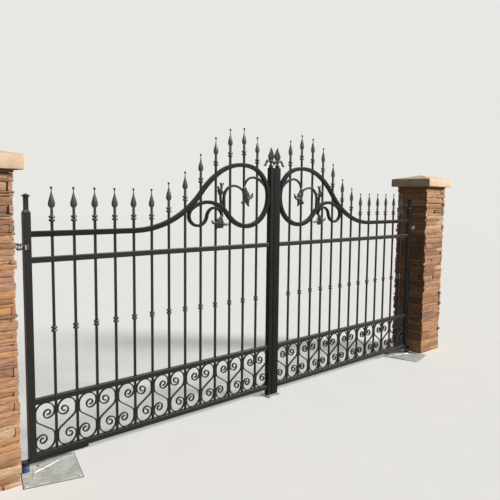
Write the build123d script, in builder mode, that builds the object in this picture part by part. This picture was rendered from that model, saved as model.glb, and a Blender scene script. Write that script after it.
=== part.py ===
from build123d import *
from math import atan2, cos, degrees, hypot, radians, sin
import os

# Wrought iron driveway gate: two hinged leaves between two stone-clad piers.
# Millimetres, X along the gateway, -Y towards the yard that the leaves open into, Z up.
# The origin is the middle of the left pier's foot.
os.makedirs("parts", exist_ok=True)

# Piers and their caps
pier_width = 350
pier_depth = 350
pier_height = 1747
cap_overhang = 50
cap_edge = 80
cap_rise = 45
cap_point = 6

# Leaves
hinge_gap = 90
leaf_width = 1950
leaf_line = 42
meeting_gap = 30
stile = 40
rail = 30
bar = 14
bar_count = 13
bar_clearance = 0.2
seat_gap = 0.3

# Heights of the rails' middles above the ground
bottom_rail_z = 80
lower_rail_z = 408
middle_rail_z = 1242
top_rail_z = 1392
knot_z = 832

# Hinge stile above the rails
shoulder_z = 1516
shoulder_drop = 16
neck = 24
neck_top_z = 1597
stile_cap_width = 38
stile_cap_flare = 14
stile_cap_rise = 12
stile_cap_point = 4

# Meeting stile
meeting_foot_z = 14
meeting_top_z = 1849
strip_depth = 6
strip_clearance = 6

# Top scroll: the top rail's centre line leaves the straight at scroll_start and runs on as
# tangent arcs (radius, degrees), left turns positive; widths are given at each arc's end.
scroll_start = 691.2
rise_arcs = [(693, 51.2), (-635, 20.1), (-414, 42.6), (-225, 213.9)]
rise_widths = [30, 30, 30, 30, 26]
tail_straight = 56
tail_arcs = [(230.5, 83.6), (61, 86.2), (81, 136.2), (-67, 168)]
tail_widths = [26, 24, 22, 19, 17, 14]

# Spearheads: heights of the tips, then sizes measured down from a tip
spear_tips = [1665, 1665, 1665, 1665, 1665, 1665, 1711, 1789, 1917, 2043, 2114, 2133, 2077]
spear_length = 197
collar_drops = [175, 192]
blade_foot = 124
blade_widest = 101
blade_point = 28
blade_width = 45
blade_depth = 15
blade_tip_scale = 0.15
blade_foot_scale = 0.3
spear_neck = 13
spear_needle = 5
needle_root = 31
ball_width = 15
ball_end_scale = 0.4

# Double rings on the bars and under the spearheads
ring_size = 25
ring_height = 10
knot_spacing = 18

# S scrolls of the bottom panel: a leaning middle, an upright side, a loop that fills the bay,
# then the bar curls inwards
scroll_bar = 6
scroll_depth = 16
scroll_lean = 55
scroll_corner = 28
loop_turn = 180
curl_arcs = [(-40, 90), (-24, 180)]
scroll_facet = 45

# Inner scrolls of the ring and the sprig beside it: start, heading, moves and widths
inner_depth = 20
inner_facet = 12
arch = ((1437, 1530), 91, [78, (-94, 148)], [15, 14, 9])
crook = ((1641, 1680), 90, [(-98, 46), (-98, 44), (-330, 13)], [9, 12, 13, 15])
sprig = ((1405, 1538), 118, [(-215, 28), (-90, 50)], [13, 12, 8])

# Cast leaves: the outline of each, clockwise from where it is held
leaf_depth = 8
crown_leaf = [(1620, 1690), (1603, 1640), (1622, 1598), (1612, 1582), (1596, 1566), (1624, 1568)]
crown_leaf += [(1640, 1576), (1652, 1562), (1667, 1546), (1672, 1580), (1668, 1603), (1692, 1604)]
crown_leaf += [(1706, 1624), (1688, 1624), (1666, 1632), (1666, 1664), (1640, 1690)]
bud_leaf = [(1384, 1626), (1374, 1664), (1396, 1700), (1408, 1718), (1428, 1710), (1424, 1676), (1396, 1626)]
end_leaf = [(1402, 1480), (1388, 1454), (1362, 1436), (1342, 1424), (1328, 1442), (1318, 1448)]
end_leaf += [(1318, 1438), (1330, 1412), (1352, 1420), (1350, 1404), (1358, 1390), (1370, 1396)]
end_leaf += [(1378, 1406), (1388, 1392), (1398, 1393), (1404, 1400), (1410, 1408), (1420, 1396)]
end_leaf += [(1436, 1396), (1440, 1406), (1440, 1416), (1462, 1418), (1482, 1402), (1472, 1428)]
end_leaf += [(1444, 1434), (1432, 1452), (1416, 1480)]

# Finial on the meeting stile, measured from the stile's middle line
finial_depth = 12
finial_collar = 34
finial_outer = [(13, 1849), (8, 1862), (11, 1878), (38, 1886), (66, 1860), (56, 1900), (9, 1895)]
finial_inner = [(13, 1849), (8, 1862), (11, 1878), (20, 1876), (25, 1868), (28, 1884), (9, 1895)]
spade = [(8, 1908), (28, 1930), (23, 1962), (8, 1984), (0, 2011)]

# Upper hinge
axis_gap = 65
hinge_z = 1323
rod_radius = 9
rod_anchor = 120
rod_end_gap = 1
eye_width = 38
eye_height = 20
pin_radius = 8
pin_head = 12
clevis_plate = 8
clevis_gap = 0.5
clevis_width = 36

# Underground drive at the foot of each leaf
cover_width = 318
cover_length = 335
cover_thickness = 5
cover_skew = 14.8
cover_left = -22
cover_front = -199
hub_width = 50
hub_top_z = 43
spindle_width = 26
shoe_end = 342
shoe_height = 16

# Centre stop
stop_width = 130
stop_length = 110
stop_plate = 8
stop_lug = 8
stop_lug_width = 70
stop_height = 42
stop_gap = 0.5

# Places worked out from the sizes above
line_y = -leaf_line
left_x = pier_width / 2 + hinge_gap
axis_x = pier_width / 2 + axis_gap
centre_x = left_x + leaf_width + meeting_gap / 2
hinge_stile_x = left_x + stile / 2
meeting_x = left_x + leaf_width - stile / 2
inner_x = left_x + stile
inner_width = leaf_width - 2 * stile
bar_gap = (inner_width - bar_count * bar) / (bar_count + 1)
pitch = bar_gap + bar
bars_x = [inner_x + bar_gap + bar / 2 + i * pitch for i in range(bar_count)]
scroll_x = hinge_stile_x + scroll_start
leaf_foot_z = bottom_rail_z - rail / 2
lower_clear_z = bottom_rail_z + rail / 2
upper_clear_z = lower_rail_z - rail / 2
leaf_plane = Plane((0, line_y, 0), x_dir=(1, 0, 0), z_dir=(0, -1, 0))


def along(start, heading, moves, facet):
    """Follow straight lengths and tangent arcs; give the places passed on each move."""
    x, z = start
    turn = radians(heading)
    steps = []
    for move in moves:
        if isinstance(move, tuple):
            radius, sweep_angle = move
            side = 1 if radius > 0 else -1
            arc_x = x - radius * sin(turn)
            arc_z = z + radius * cos(turn)
            count = round(sweep_angle / facet) if facet else 2
            places = []
            for i in range(count + 1):
                bearing = turn + side * radians(sweep_angle) * i / count
                places.append((arc_x + radius * sin(bearing), arc_z - radius * cos(bearing), bearing))
        else:
            places = [(x, z, turn), (x + move * cos(turn), z + move * sin(turn), turn)]
        steps.append(places)
        x, z, turn = places[-1]
    return steps


def forged_outline(start, heading, moves, widths, facet=None):
    """Draw the outline of a bar whose centre line is a chain of tangent arcs."""
    steps = along(start, heading, moves, facet)
    for side in (0.5, -0.5):
        for places, wide, narrow in zip(steps, widths, widths[1:]):
            edge = []
            for i, (x, z, turn) in enumerate(places):
                away = side * (wide + (narrow - wide) * i / (len(places) - 1))
                edge.append((x - away * sin(turn), z + away * cos(turn)))
            if len(edge) == 3 and not facet:
                ThreePointArc(*edge)
            else:
                Polyline(*edge)
    for (x, z, turn), width in ((steps[0][0], widths[0]), (steps[-1][-1], widths[-1])):
        across = (width / 2 * sin(turn), width / 2 * cos(turn))
        Line((x - across[0], z + across[1]), (x + across[0], z - across[1]))


def arcs_through(points, at, side):
    """Draw arcs through every second point, to one side of an upright middle line."""
    placed = [(at + side * x, z) for x, z in points]
    for first, middle, last in zip(placed[0:-2:2], placed[1:-1:2], placed[2::2]):
        ThreePointArc(first, middle, last)
    return placed[0], placed[-1]


def frustum(plane, shape, rise, scale):
    """Raise a shape that is centred on its plane and shrinks evenly to a given scale."""
    with BuildSketch(plane) as base:
        Polygon(*shape)
    (x0, y0), (x1, y1) = shape[:2]
    inset = (1 - scale) * abs(x0 * y1 - x1 * y0) / hypot(x1 - x0, y1 - y0)
    extrude(base.sketch, amount=rise, taper=degrees(atan2(inset, rise)))


def corners(width, depth=None, sides=4):
    """The corners of a rhombus, or of a regular polygon of an even number of sides."""
    depth = depth or width
    steps = [radians(360 * i / sides) for i in range(sides)]
    return [(width / 2 * cos(step), depth / 2 * sin(step)) for step in steps]


def bar_holes():
    """Cut an upright square hole for each bar."""
    size = bar + 2 * bar_clearance
    with Locations([(x, line_y, pier_height / 2) for x in bars_x]):
        Box(size, size, 2 * pier_height, mode=Mode.SUBTRACT)


def save(piece, name):
    piece.part.label = name
    export_step(piece.part, f"parts/{name}.step")


def save_pair(piece, name):
    """Write a piece of the left side and its mirror image on the right."""
    save(piece, f"left_{name}")
    with BuildPart() as mirrored:
        add(mirror(piece.part, about=Plane.YZ.offset(centre_x)))
    save(mirrored, f"right_{name}")


# Pier: one mass of masonry, with the hole that the hinge rod is set in
with BuildPart() as pier:
    Box(pier_width, pier_depth, pier_height, align=(Align.CENTER, Align.CENTER, Align.MIN))
    with Locations(Plane((pier_width / 2, line_y, hinge_z), z_dir=(1, 0, 0))):
        Hole(rod_radius + bar_clearance, depth=rod_anchor)
save_pair(pier, "pier")

# Cap: a square slab with a low pyramid on it
cap_width = pier_width + 2 * cap_overhang
with BuildPart() as cap:
    with BuildSketch(Plane.XY.offset(pier_height)):
        Rectangle(cap_width, cap_width)
    extrude(amount=cap_edge)
    with BuildSketch(Plane.XY.offset(pier_height + cap_edge)):
        Rectangle(cap_width, cap_width)
    extrude(amount=cap_rise, taper=degrees(atan2((cap_width - cap_point) / 2, cap_rise)))
save_pair(cap, "pier_cap")

# Hinge stile: square tube with a shoulder and a narrower neck
with BuildPart() as hinge_stile:
    with BuildSketch(Plane((hinge_stile_x, line_y, leaf_foot_z))):
        Rectangle(stile, stile)
    extrude(amount=shoulder_z - leaf_foot_z)
    with BuildSketch(Plane((hinge_stile_x, line_y, shoulder_z))):
        Rectangle(stile, stile)
    extrude(amount=shoulder_drop, taper=degrees(atan2((stile - neck) / 2, shoulder_drop)))
    with BuildSketch(Plane((hinge_stile_x, line_y, shoulder_z + shoulder_drop))):
        Rectangle(neck, neck)
    extrude(amount=neck_top_z - shoulder_z - shoulder_drop)
save_pair(hinge_stile, "hinge_stile")

# Flared square cap on the hinge stile, with a low pyramid
with BuildPart() as stile_cap:
    for rise, end_width in ((-stile_cap_flare, neck), (stile_cap_rise, stile_cap_point)):
        low = (stile_cap_width - end_width) / 2
        high = stile_cap_width - low
        with Locations((hinge_stile_x, line_y, neck_top_z + stile_cap_flare + rise / 2)):
            Wedge(
                stile_cap_width, abs(rise), stile_cap_width, low, low, high, high,
                rotation=(90 if rise > 0 else -90, 0, 0),
            )
save_pair(stile_cap, "stile_cap")

# Meeting stile
with BuildPart() as meeting_stile:
    with BuildSketch(Plane((meeting_x, line_y, meeting_foot_z))):
        Rectangle(stile, stile)
    extrude(amount=meeting_top_z - meeting_foot_z)
save_pair(meeting_stile, "meeting_stile")

# Closing strip: fills the gap between the meeting stiles, carried by the right one
with BuildPart() as closing_strip:
    with BuildSketch(Plane((centre_x + strip_clearance / 2, line_y - stile / 2, meeting_foot_z))):
        Rectangle(meeting_gap - strip_clearance, strip_depth, align=(Align.CENTER, Align.MIN))
    extrude(amount=meeting_top_z - meeting_foot_z)
save(closing_strip, "right_closing_strip")

# Straight rails between the stiles; the bars pass through the middle ones
for name, height, pierced in (
    ("bottom_rail", bottom_rail_z, False),
    ("lower_rail", lower_rail_z, True),
    ("middle_rail", middle_rail_z, True),
):
    with BuildPart() as straight_rail:
        with Locations((inner_x + inner_width / 2, line_y, height)):
            Box(inner_width, rail, rail)
        if pierced:
            bar_holes()
    save_pair(straight_rail, name)

# Top rail: straight from the hinge stile, then one forged scroll that rises into a ring
with BuildPart() as top_rail:
    with BuildSketch(leaf_plane):
        with BuildLine():
            forged_outline(
                (inner_x, top_rail_z), 0, [scroll_x - inner_x] + rise_arcs, [rail] + rise_widths
            )
        make_face()
        ring_end = along((scroll_x, top_rail_z), 0, rise_arcs, None)[-1][-1]
        with BuildLine():
            forged_outline(
                ring_end[:2], degrees(ring_end[2]), [tail_straight] + tail_arcs, tail_widths
            )
        make_face()
    extrude(amount=rail / 2, both=True)
    bar_holes()
save_pair(top_rail, "top_rail")

# Bars: from the bottom rail up to the foot of each spearhead
with BuildPart() as bars:
    for x, tip in zip(bars_x, spear_tips):
        with BuildSketch(Plane((x, line_y, lower_clear_z))):
            Rectangle(bar, bar)
        extrude(amount=tip - spear_length - lower_clear_z)
save_pair(bars, "bars")

# Double rings at mid height of each bar
with BuildPart() as bar_rings:
    for x in bars_x:
        for offset_z in (-knot_spacing / 2, knot_spacing / 2):
            with BuildSketch(Plane((x, line_y, knot_z + offset_z - ring_height / 2))):
                RegularPolygon(ring_size / 2, 6, major_radius=False)
                Rectangle(bar + 2 * bar_clearance, bar + 2 * bar_clearance, mode=Mode.SUBTRACT)
            extrude(amount=ring_height)
save_pair(bar_rings, "bar_rings")

# Spearheads: two rings, a slender neck, a ridged leaf-shaped blade and a small ball
blade = corners(blade_width, blade_depth)
ball = corners(ball_width, sides=6)
with BuildPart() as spearheads:
    for x, tip in zip(bars_x, spear_tips):
        for drop in collar_drops:
            with BuildSketch(Plane((x, line_y, tip - drop - ring_height / 2))):
                RegularPolygon(ring_size / 2, 6, major_radius=False)
            extrude(amount=ring_height)
        for low, high, width in (
            (collar_drops[1], blade_widest, spear_neck),
            (needle_root, ball_width / 2, spear_needle),
        ):
            with BuildSketch(Plane((x, line_y, tip - low))):
                Rectangle(width, width)
            extrude(amount=low - high)
        up = Plane((x, line_y, tip - blade_widest))
        down = Plane((x, line_y, tip - blade_widest), z_dir=(0, 0, -1))
        frustum(up, blade, blade_widest - blade_point, blade_tip_scale)
        frustum(down, blade, blade_foot - blade_widest, blade_foot_scale)
        for facing in (1, -1):
            middle = Plane((x, line_y, tip - ball_width / 2), z_dir=(0, 0, facing))
            frustum(middle, ball, ball_width / 2, ball_end_scale)
save_pair(spearheads, "spearheads")

# Bottom panel: one S scroll in each bay, turned about from bay to bay
loop_radius = bar_gap / 2 - seat_gap - scroll_bar / 2
loop_rise = (upper_clear_z - lower_clear_z) / 2 - seat_gap - scroll_bar / 2 - loop_radius
lean = radians(scroll_lean)
lean_length = (loop_radius - scroll_corner * (1 - cos(lean))) / sin(lean)
side_length = loop_rise - lean_length * cos(lean) - scroll_corner * sin(lean)
half_moves = [lean_length, (-scroll_corner, scroll_lean), side_length, (-loop_radius, loop_turn)] + curl_arcs
scroll_widths = [scroll_bar] * (len(half_moves) + 1)
with BuildPart() as s_scrolls:
    for bay in range(bar_count + 1):
        turned = 1 if bay % 2 == 0 else -1
        bay_plane = Plane(
            (inner_x + bar_gap / 2 + bay * pitch, line_y, (lower_clear_z + upper_clear_z) / 2),
            x_dir=(turned, 0, 0),
            z_dir=(0, -turned, 0),
        )
        with BuildSketch(bay_plane):
            for heading in (90 + scroll_lean, 270 + scroll_lean):
                with BuildLine():
                    forged_outline((0, 0), heading, half_moves, scroll_widths, scroll_facet)
                make_face()
        extrude(amount=scroll_depth / 2, both=True)
save_pair(s_scrolls, "s_scrolls")

# Inner scrolls: an arch and a crook inside the ring, and a sprig beside them
with BuildPart() as inner_scrolls:
    for (along_x, height), heading, moves, widths in (arch, crook, sprig):
        with BuildSketch(leaf_plane):
            with BuildLine():
                forged_outline((hinge_stile_x + along_x, height), heading, moves, widths, inner_facet)
            make_face()
        extrude(amount=inner_depth / 2, both=True)
    add(top_rail.part, mode=Mode.SUBTRACT)
    bar_holes()
save_pair(inner_scrolls, "inner_scrolls")

# Cast leaves on the front of the bars: between arch and crook, on the sprig, at the scroll's end
with BuildPart() as scroll_leaves:
    for outline in (crown_leaf, bud_leaf, end_leaf):
        with BuildSketch(Plane((0, line_y - bar / 2 - seat_gap, 0), x_dir=(1, 0, 0), z_dir=(0, -1, 0))):
            Polygon(*[(hinge_stile_x + x, z) for x, z in outline], align=None)
        extrude(amount=leaf_depth)
    add(top_rail.part, mode=Mode.SUBTRACT)
    add(inner_scrolls.part, mode=Mode.SUBTRACT)
save_pair(scroll_leaves, "scroll_leaves")

# Finial: a spade leaf over two curled side leaves, standing on a collar on the meeting stile
with BuildPart() as finial:
    with BuildSketch(leaf_plane):
        for side, curl in ((-1, finial_outer), (1, finial_inner)):
            with BuildLine():
                foot, shoulder = arcs_through(curl, meeting_x, side)
                base, point = arcs_through(spade, meeting_x, side)
                Line(shoulder, base)
                Polyline(point, (meeting_x, meeting_top_z), foot)
            make_face()
    extrude(amount=finial_depth / 2, both=True)
    with BuildSketch(Plane((meeting_x, line_y, meeting_top_z))):
        RegularPolygon(finial_collar / 2, 8, major_radius=False)
    extrude(amount=ring_height)
save_pair(finial, "finial")

# Upper hinge: rod set in the pier, ending in an eye
with BuildPart() as hinge_rod:
    with BuildSketch(Plane((pier_width / 2 - rod_anchor + rod_end_gap, line_y, hinge_z), z_dir=(1, 0, 0))):
        Circle(rod_radius)
    extrude(amount=rod_anchor - rod_end_gap + axis_gap - pin_radius)
    with BuildSketch(Plane((axis_x, line_y, hinge_z))):
        RegularPolygon(eye_width / 2, 8, major_radius=False)
    extrude(amount=eye_height / 2, both=True)
    with Locations((axis_x, line_y, hinge_z)):
        Cylinder(pin_radius + seat_gap, eye_height, mode=Mode.SUBTRACT)
save_pair(hinge_rod, "hinge_rod")

# Clevis on the hinge stile, and the bolt that hangs it on the eye
clevis_reach = left_x - axis_x
with BuildPart() as hinge_clevis:
    for low in (eye_height / 2 + clevis_gap, -eye_height / 2 - clevis_gap - clevis_plate):
        with BuildSketch(Plane((axis_x, line_y, hinge_z + low))):
            RegularPolygon(clevis_width / 2, 8, major_radius=False)
            Rectangle(clevis_reach, clevis_width, align=(Align.MIN, Align.CENTER))
            Circle(pin_radius + bar_clearance, mode=Mode.SUBTRACT)
        extrude(amount=clevis_plate)
save_pair(hinge_clevis, "hinge_clevis")

bolt_low_z = hinge_z - eye_height / 2 - clevis_gap - clevis_plate
bolt_high_z = hinge_z + eye_height / 2 + clevis_gap + clevis_plate
with BuildPart() as hinge_bolt:
    with BuildSketch(Plane((axis_x, line_y, bolt_low_z))):
        Circle(pin_radius)
    extrude(amount=bolt_high_z - bolt_low_z)
    for height, length in ((bolt_high_z, pin_head), (bolt_low_z, -pin_head)):
        with BuildSketch(Plane((axis_x, line_y, height))):
            RegularPolygon(pin_head, 6)
        extrude(amount=length)
save_pair(hinge_bolt, "hinge_bolt")

# Drive shoe under the bottom rail, with the spindle that turns it
with BuildPart() as drive_shoe:
    with BuildSketch(Plane((axis_x, line_y, leaf_foot_z - shoe_height))):
        RegularPolygon(hub_width / 2, 8, major_radius=False)
        Rectangle(shoe_end + hinge_stile_x - axis_x, stile, align=(Align.MIN, Align.CENTER))
    extrude(amount=shoe_height)
    with BuildSketch(Plane((axis_x, line_y, hub_top_z + seat_gap))):
        RegularPolygon(spindle_width / 2, 8, major_radius=False)
    extrude(amount=leaf_foot_z - hub_top_z - seat_gap)
save_pair(drive_shoe, "drive_shoe")

# Steel cover of the underground drive, with the hub that the spindle stands in
with BuildPart() as drive_cover:
    with BuildSketch(Plane((axis_x, line_y, 0)).rotated((0, 0, -cover_skew))):
        with Locations((cover_left, cover_front)):
            Rectangle(cover_width, cover_length, align=(Align.MIN, Align.MIN))
    extrude(amount=cover_thickness)
    with BuildSketch(Plane((axis_x, line_y, cover_thickness))):
        RegularPolygon(hub_width / 2, 8, major_radius=False)
    extrude(amount=hub_top_z - cover_thickness)
save_pair(drive_cover, "drive_cover")

# Centre stop: a ground plate with a lug that both meeting stiles close against
with BuildPart() as centre_stop:
    with Locations((centre_x, line_y, 0)):
        Box(stop_width, stop_length, stop_plate, align=(Align.CENTER, Align.CENTER, Align.MIN))
    with Locations((centre_x, line_y + stile / 2 + stop_gap, 0)):
        Box(stop_lug_width, stop_lug, stop_height, align=(Align.CENTER, Align.MIN, Align.MIN))
save(centre_stop, "centre_stop")
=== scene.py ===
"""Looks of the wrought iron driveway gate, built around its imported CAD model."""

import random
from math import ceil, copysign, cos, exp, hypot, pi, radians, sin, sqrt, tau

import bmesh
import bpy
from mathutils import Matrix, Vector, noise
from mathutils.geometry import delaunay_2d_cdt


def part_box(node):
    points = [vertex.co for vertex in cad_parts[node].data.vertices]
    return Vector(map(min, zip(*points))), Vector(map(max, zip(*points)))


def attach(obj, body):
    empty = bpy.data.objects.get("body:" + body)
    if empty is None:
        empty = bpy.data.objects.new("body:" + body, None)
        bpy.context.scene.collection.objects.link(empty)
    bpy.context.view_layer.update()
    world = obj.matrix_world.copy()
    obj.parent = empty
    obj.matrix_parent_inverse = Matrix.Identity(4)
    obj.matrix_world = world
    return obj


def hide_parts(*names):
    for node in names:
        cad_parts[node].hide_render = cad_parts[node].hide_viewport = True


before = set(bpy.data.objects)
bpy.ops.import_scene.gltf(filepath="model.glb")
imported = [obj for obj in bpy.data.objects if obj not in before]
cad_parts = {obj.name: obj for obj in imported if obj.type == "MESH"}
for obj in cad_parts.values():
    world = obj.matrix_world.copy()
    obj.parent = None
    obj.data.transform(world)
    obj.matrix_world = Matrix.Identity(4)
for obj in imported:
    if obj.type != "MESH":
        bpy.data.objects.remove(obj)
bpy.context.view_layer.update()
scene = bpy.context.scene
MM = 0.001

# Sizes in millimetres, the same as in the part's source
PIER, PIER_TOP = 350, 1747
CAP, CAP_EDGE, CAP_RISE = 450, 80, 45
AXIS_X, LINE_Y = 240, -42
LEFT_X, STILE_X, INNER_X, MEETING_X, CENTRE_X = 265, 285, 305, 2195, 2230
RAIL, BAR, BAR_COUNT, CLEAR_WIDTH = 30, 14, 13, 1870
BAR_GAP = (CLEAR_WIDTH - BAR_COUNT * BAR) / (BAR_COUNT + 1)
PITCH = BAR_GAP + BAR
BARS_X = [INNER_X + BAR_GAP + BAR / 2 + i * PITCH for i in range(BAR_COUNT)]
BOTTOM_Z, LOWER_Z, MIDDLE_Z, TOP_Z = 80, 408, 1242, 1392
PANEL_LOW = BOTTOM_Z + RAIL / 2
PANEL_HIGH = LOWER_Z - RAIL / 2
HINGE_Z = 1323
MEETING_TOP = 1849
SPEAR_TIPS = [1665] * 6 + [1711, 1789, 1917, 2043, 2114, 2133, 2077]

# Details that the scene sizes on its own: beads, rails, and the joints of bars and spearheads
KNOT_Z, KNOT_SPACING = 825, 20
COLLAR_DROPS, NECK_DROP, BAR_END_DROP = (176, 196.5), 204, 197
RAIL_SWELL = 2

# Top scroll and the scrolls inside it: start, heading, moves (radius, degrees) and widths
TOP_SCROLL = (
    (INNER_X, TOP_Z), 0,
    [
        671.2, (693, 51.2), (-635, 20.1), (-414, 42.6), (-230.5, 95), (-222.9, 69.7), (-233.7, 51.4), 40.3,
        (229.8, 85.8), (61, 86.2), (81, 136.2), (-70, 168),
    ],
    [34, 34, 32, 31, 30, 31, 34, 33, 31, 22, 20, 20, 17],
)
ARCH = ((STILE_X + 1436, 1530), 91, [74, (-94, 90), (-125, 52)], [23, 20, 18, 13])
CROOK = ((STILE_X + 1633, 1697), 78, [(-88, 78), (-150, 30), (-190, 22)], [11, 18, 20, 18])
SPRIG = ((STILE_X + 1424, 1540), 124, [(-110, 24), (-500, 9), (-60, 40)], [16, 15, 13, 6])
FORGED_EDGE = 3.5

# S scroll of the bottom panel, one half from its middle outwards, with room for its bar
SCROLL_BAR = 6
LOOP_RADIUS = BAR_GAP / 2 - 0.3 - SCROLL_BAR / 2
LOOP_RISE = (PANEL_HIGH - PANEL_LOW) / 2 - 0.3 - SCROLL_BAR / 2 - LOOP_RADIUS
SCROLL_LEAN = 55
CORNER = 46
LEAN = radians(SCROLL_LEAN)
LEAN_LENGTH = (LOOP_RADIUS - CORNER * (1 - cos(LEAN))) / sin(LEAN)
SIDE_LENGTH = LOOP_RISE - LEAN_LENGTH * cos(LEAN) - CORNER * sin(LEAN)
HALF_SCROLL = [
    LEAN_LENGTH, (-CORNER, SCROLL_LEAN), SIDE_LENGTH,
    (-LOOP_RADIUS, 180), (-40, 90), (-25, 180), (-15, 200),
]
SCROLL_DEPTH = 14
LONGEST_RUN = 60
SCROLL_THIN, SCROLL_TAPER, SCROLL_FULL, SCROLL_END = 6.4, 1.4, 7.8, 9


class Shape:
    """Vertices in millimetres and faces, each with the number of its material."""

    def __init__(self):
        self.verts = []
        self.faces = []
        self.slots = []

    def add(self, verts, faces, slot=0):
        start = len(self.verts)
        self.verts += [tuple(v) for v in verts]
        self.faces += [tuple(start + i for i in f) for f in faces]
        self.slots += [slot] * len(faces)

    def mirrored(self):
        """The same shape on the gateway's other side."""
        other = Shape()
        other.verts = [(2 * CENTRE_X - x, y, z) for x, y, z in self.verts]
        other.faces, other.slots = self.faces, self.slots
        return other


def new_object(name, data):
    """An object in the scene for a mesh, a lamp or a camera."""
    made = bpy.data.objects.new(name, data)
    scene.collection.objects.link(made)
    return made


def make_piece(name, shape, materials, body, replaced=(), sharp=38):
    """One mesh object from a shape: smooth over gentle turns, sharp over strong ones."""
    mesh = bpy.data.meshes.new(name)
    mesh.from_pydata([(x * MM, y * MM, z * MM) for x, y, z in shape.verts], [], shape.faces)
    for material in materials:
        mesh.materials.append(material)
    mesh.polygons.foreach_set("material_index", shape.slots)
    work = bmesh.new()
    work.from_mesh(mesh)
    bmesh.ops.recalc_face_normals(work, faces=work.faces)
    work.to_mesh(mesh)
    work.free()
    mesh.shade_smooth()
    mesh.set_sharp_from_angle(angle=radians(sharp))
    piece = new_object(name, mesh)
    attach(piece, body)
    if replaced:
        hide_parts(*replaced)


def make_pair(name, shape, materials, node=None, fixed=False, sharp=38):
    """A piece of the left leaf or pier, and its mirror image on the right."""
    for side, each in (("left", shape), ("right", shape.mirrored())):
        body = "posts" if fixed else f"{side}_leaf"
        replaced = [f"{side}_{node}"] if node else []
        make_piece(f"{side}_{name}", each, materials, body, replaced, sharp)


def add_rings(shape, rings, slot=0, closed=False):
    """Skin rings of equal length one after another, with ends or closed on themselves."""
    count = len(rings[0])
    verts = [v for ring in rings for v in ring]
    faces = []
    for k in range(len(rings) - (not closed)):
        a, b = k * count, (k + 1) % len(rings) * count
        faces += [(a + i, a + (i + 1) % count, b + (i + 1) % count, b + i) for i in range(count)]
    if not closed:
        faces.append(tuple(range(count)))
        faces.append(tuple((len(rings) - 1) * count + i for i in range(count)))
    shape.add(verts, faces, slot)


def rounded(half_a, half_b, radius, steps=2):
    """Outline of a rectangle with rounded corners, as offsets from its middle."""
    radius = min(radius, half_a * 0.99, half_b * 0.99)
    points = []
    for quarter, (sa, sb) in enumerate(((1, 1), (-1, 1), (-1, -1), (1, -1))):
        for i in range(steps + 1):
            turn = radians(90 * (quarter + i / steps))
            a = sa * (half_a - radius) + radius * cos(turn)
            points.append((a, sb * (half_b - radius) + radius * sin(turn)))
    return points


def around(points):
    """Each point of a closed outline with the next one."""
    return zip(points, points[1:] + points[:1])


def circle(radius, sides):
    """Points of a circle, as offsets from its middle."""
    turns = [tau * i / sides for i in range(sides)]
    return [(radius * cos(t), radius * sin(t)) for t in turns]


def upright(shape, centre, profile, radius=None, sides=24, slot=0):
    """An upright solid, round or square, from (half width, height above the centre) pairs."""
    x, y, foot = centre
    rings = []
    for half, height in profile:
        outline = circle(half, sides) if radius is None else rounded(half, half, min(radius, half * 0.9))
        rings.append([(x + a, y + b, foot + height) for a, b in outline])
    add_rings(shape, rings, slot)


def bead(shape, centre, radius, height, slot=0):
    """A round bead about an upright line."""
    turns = [radians(-90 + 180 * i / 8) for i in range(9)]
    profile = [(radius - height / 2 + height / 2 * cos(t), height / 2 * sin(t)) for t in turns]
    upright(shape, centre, profile, sides=20, slot=slot)


def tube_box(shape, low, high, radius=2.5, slot=0, axis=0):
    """A straight bar with rounded long edges and worn ends, lying along the given axis."""
    i, j = (k for k in range(3) if k != axis)
    half_i, half_j = (high[i] - low[i]) / 2, (high[j] - low[j]) / 2
    worn = 0.6
    rings = []
    for place, inset in ((low[axis], worn), (low[axis] + worn, 0), (high[axis] - worn, 0), (high[axis], worn)):
        ring = []
        for a, b in rounded(half_i, half_j, radius):
            v = [place] * 3
            v[i] = (low[i] + high[i]) / 2 + a * (1 - inset / half_i)
            v[j] = (low[j] + high[j]) / 2 + b * (1 - inset / half_j)
            ring.append(v)
        rings.append(ring)
    add_rings(shape, rings, slot)


def grid(columns, rows):
    """Faces of a grid of points, and the numbers of its outer points, once round."""
    wide = columns + 1
    corners = [j * wide + i for j in range(rows) for i in range(columns)]
    faces = [(a, a + 1, a + wide + 1, a + wide) for a in corners]
    rim = list(range(wide))
    rim += [j * wide + columns for j in range(1, rows + 1)]
    rim += [rows * wide + i for i in range(columns - 1, -1, -1)]
    rim += [j * wide for j in range(rows - 1, 0, -1)]
    return faces, rim


def node_box(node):
    """The lowest and highest corners of a CAD node, in millimetres."""
    low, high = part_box(node)
    return [c / MM for c in low], [c / MM for c in high]


def walk(start, heading, moves, step):
    """Points along straight runs and tangent arcs: (x, z, turn, share of the move, move)."""
    x, z = start
    turn = radians(heading)
    points = [(x, z, turn, 0.0, 0)]
    for number, move in enumerate(moves):
        if isinstance(move, tuple):
            radius, sweep = move
            mid_x, mid_z = x - radius * sin(turn), z + radius * cos(turn)
            count = max(2, ceil(sweep / step))
            for i in range(1, count + 1):
                t = turn + copysign(radians(sweep), radius) * i / count
                points.append((mid_x + radius * sin(t), mid_z - radius * cos(t), t, i / count, number))
        else:
            count = max(1, round(move / LONGEST_RUN))
            for i in range(1, count + 1):
                run = move * i / count
                points.append((x + run * cos(turn), z + run * sin(turn), turn, i / count, number))
        x, z, turn = points[-1][:3]
    return points


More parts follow.
